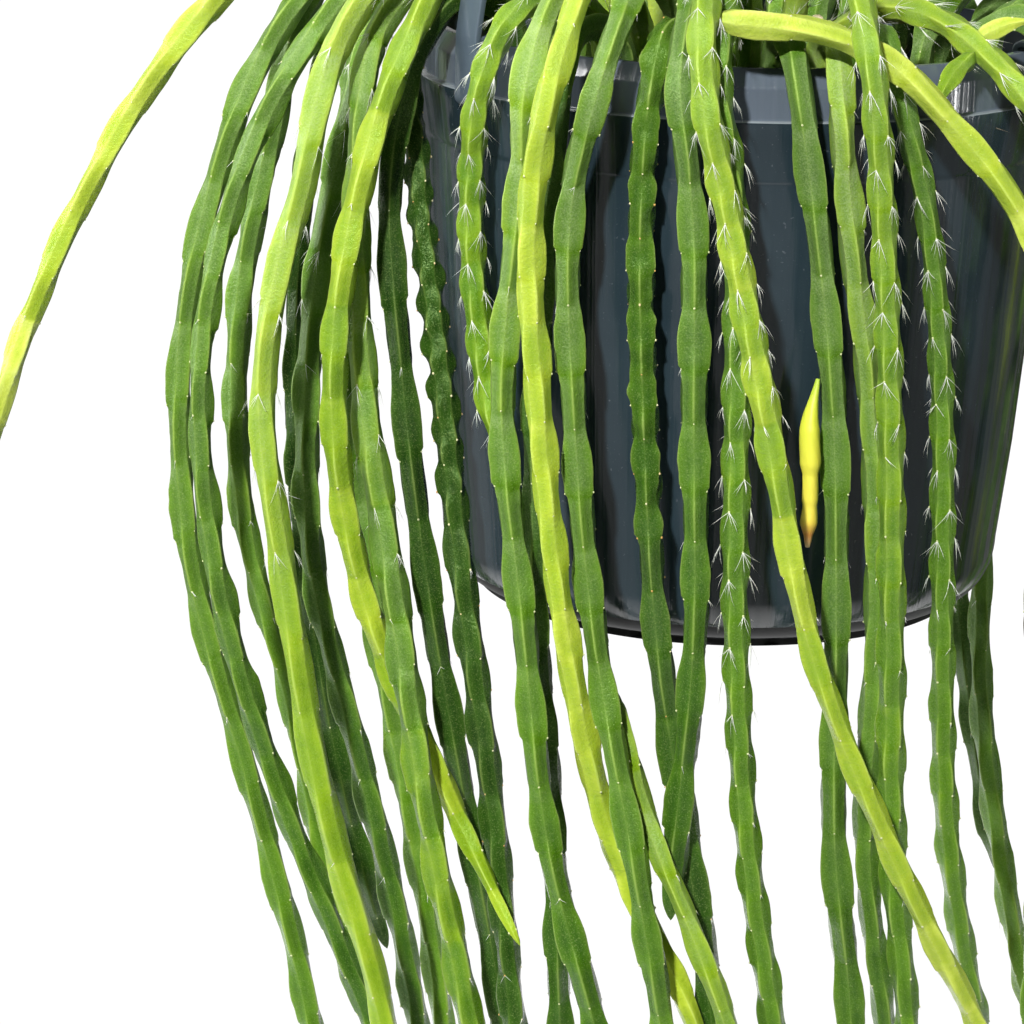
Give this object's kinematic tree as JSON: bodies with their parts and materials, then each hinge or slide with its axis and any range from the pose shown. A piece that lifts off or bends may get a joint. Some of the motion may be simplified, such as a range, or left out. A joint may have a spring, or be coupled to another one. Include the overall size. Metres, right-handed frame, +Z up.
{
  "type": "potted chain cactus",
  "caption": "Chain cactus with long jointed stems that trail over the rim of a round plastic pot, which hangs from a clip-on hanger with a hook.",
  "frame": {"origin": "the point at the inside top of the hook that bears on the rail or nail; the pot's foot is 0.463 m below it", "axes": "+Z up, -Y towards the front, where the picture was taken from, +X to the right"},
  "size_m": [0.3029, 0.2146, 0.6182],
  "materials": {
    "pot_plastic": "gloss",
    "hanger_plastic": "satin",
    "potting_mix": "matte",
    "mature_stem_skin": "satin",
    "young_stem_skin": "satin",
    "withered_skin": "matte",
    "dry_wood": "matte"
  },
  "bodies": {
    "root": {"pot": "pot_plastic", "soil": "potting_mix", "hanger_hook": "hanger_plastic", "hanger_arm_1": "hanger_plastic", "hanger_arm_2": "hanger_plastic", "hanger_arm_3": "hanger_plastic", "left_stem_1": "young_stem_skin", "left_stem_2": "mature_stem_skin", "left_stem_3": "mature_stem_skin", "left_stem_4": "mature_stem_skin", "left_stem_5": "mature_stem_skin", "left_stem_6": "mature_stem_skin", "left_stem_7": "mature_stem_skin", "left_stem_8": "young_stem_skin", "left_stem_9": "mature_stem_skin", "left_stem_10": "mature_stem_skin", "left_stem_11": "mature_stem_skin", "left_stem_12": "mature_stem_skin", "front_stem_1": "mature_stem_skin", "front_stem_2": "mature_stem_skin", "front_stem_3": "mature_stem_skin", "front_stem_4": "young_stem_skin", "front_stem_5": "mature_stem_skin", "front_stem_6": "mature_stem_skin", "front_stem_7": "mature_stem_skin", "front_stem_8": "mature_stem_skin", "front_stem_9": "mature_stem_skin", "front_stem_10": "mature_stem_skin", "front_stem_11": "mature_stem_skin", "front_stem_12": "mature_stem_skin", "front_stem_13": "mature_stem_skin", "right_stem_1": "mature_stem_skin", "right_stem_2": "mature_stem_skin", "right_stem_3": "mature_stem_skin", "right_stem_4": "mature_stem_skin", "right_stem_5": "mature_stem_skin", "right_stem_6": "mature_stem_skin", "right_stem_7": "mature_stem_skin", "right_stem_8": "mature_stem_skin", "right_stem_9": "mature_stem_skin", "back_stem_1": "mature_stem_skin", "back_stem_2": "mature_stem_skin", "back_stem_3": "mature_stem_skin", "back_stem_4": "mature_stem_skin", "back_stem_5": "mature_stem_skin", "back_stem_6": "mature_stem_skin", "back_stem_7": "mature_stem_skin", "back_stem_8": "mature_stem_skin", "back_stem_9": "mature_stem_skin", "crossing_shoot": "young_stem_skin", "young_shoot": "young_stem_skin", "young_bud": "young_stem_skin", "side_stem": "mature_stem_skin", "withered_shoot": "withered_skin", "dry_stub": "dry_wood"}
  },
  "joints": []
}
